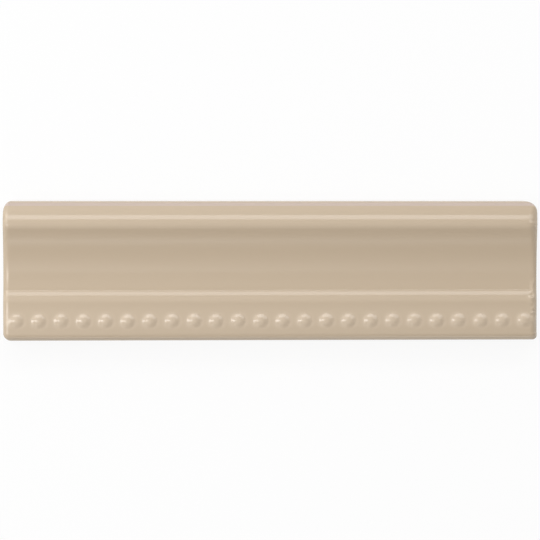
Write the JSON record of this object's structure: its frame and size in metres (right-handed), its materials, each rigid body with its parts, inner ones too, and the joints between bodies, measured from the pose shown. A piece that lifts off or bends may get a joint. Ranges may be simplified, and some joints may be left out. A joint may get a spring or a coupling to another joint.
{
  "type": "ceramic moulding tile",
  "caption": "Glazed ceramic trim tile with a rolled edge, a shallow cove, a stepped ledge and a raised row of beads, used to finish a tiled wall.",
  "frame": {"origin": "centre of the tile's length and width, on the plane of its bare back", "axes": "+X along the tile's length, +Y from the bead row towards the rolled edge, +Z out of the glazed face"},
  "size_m": [0.2, 0.052, 0.013],
  "materials": {
    "glaze": "glossy warm beige glaze over a pale fired body"
  },
  "bodies": {
    "root": {"moulding_tile": "glaze"}
  },
  "joints": []
}
